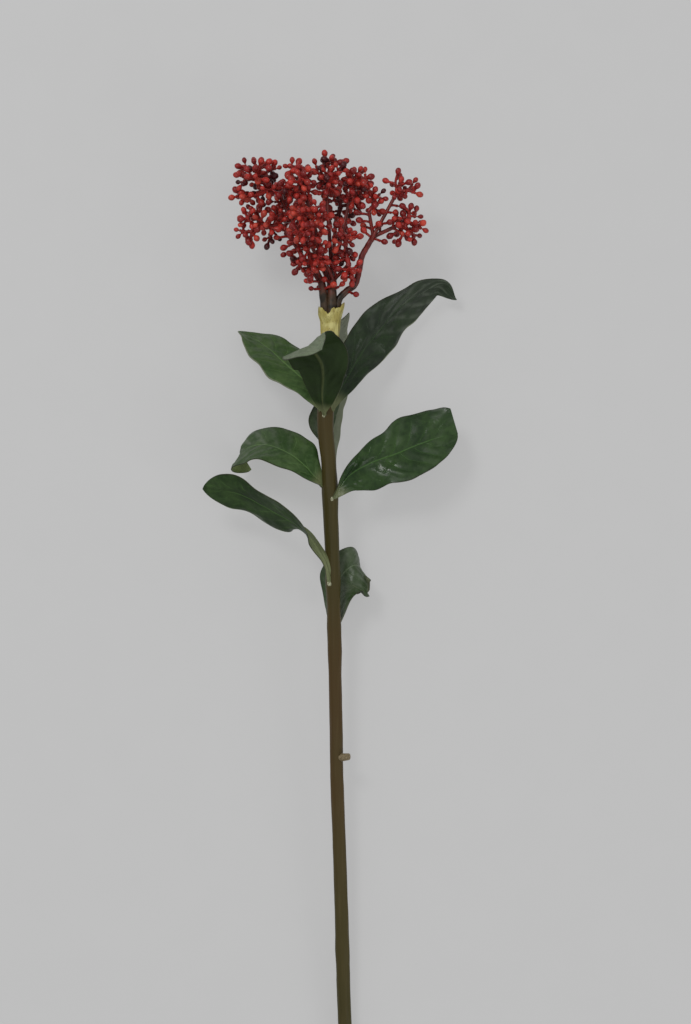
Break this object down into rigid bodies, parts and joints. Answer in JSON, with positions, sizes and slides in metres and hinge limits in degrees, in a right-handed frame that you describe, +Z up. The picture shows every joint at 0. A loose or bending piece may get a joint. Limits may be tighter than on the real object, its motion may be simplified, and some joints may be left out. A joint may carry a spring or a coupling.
{
  "type": "artificial skimmia stem",
  "caption": "Artificial skimmia branch lying flat: cut stem, glossy curled leaves, cream collar and an open head of small red buds.",
  "frame": {"origin": "on the table that the stem lies on, under the middle of its box", "axes": "+Y along the stem from the cut end towards the flower head, +Z up from the table, +X to the right of the picture"},
  "size_m": [0.1446, 0.5478, 0.0919],
  "materials": {
    "stem": "satin olive-brown plastic",
    "stub": "matt tan cut end",
    "collar": "matt cream yellow-green plastic",
    "leaf": "coated cloth, dark green with a soft gloss",
    "stalk": "satin red-brown plastic",
    "bud": "satin brick-red moulded buds"
  },
  "bodies": {
    "root": {"bough_back_left": "stalk", "bough_back_right": "stalk", "bough_centre_front": "stalk", "bough_low_left": "stalk", "bough_low_right": "stalk", "bough_lower_left": "stalk", "bough_right_high": "stalk", "bough_right_inner": "stalk", "bough_right_low": "stalk", "bough_right_lower": "stalk", "bough_right_middle": "stalk", "bough_right_upper": "stalk", "bough_top": "stalk", "bough_top_left": "stalk", "bough_top_right": "stalk", "bough_upper_left": "stalk", "buds_back_left": "bud", "buds_back_right": "bud", "buds_centre_front": "bud", "buds_low_left": "bud", "buds_low_right": "bud", "buds_lower_left": "bud", "buds_right_inner": "bud", "buds_right_lower": "bud", "buds_right_upper": "bud", "buds_top": "bud", "buds_top_left": "bud", "buds_top_right": "bud", "buds_upper_left": "bud", "collar": "collar", "leaf_low_left": "leaf", "leaf_low_rear": "leaf", "leaf_middle_left": "leaf", "leaf_middle_rear": "leaf", "leaf_middle_right": "leaf", "leaf_top_front": "leaf", "leaf_top_left": "leaf", "leaf_top_rear": "leaf", "leaf_top_right": "leaf", "stalk_back": "stalk", "stalk_left": "stalk", "stalk_middle": "stalk", "stalk_right": "stalk", "stem": "stem", "stub": "stub"}
  },
  "joints": []
}
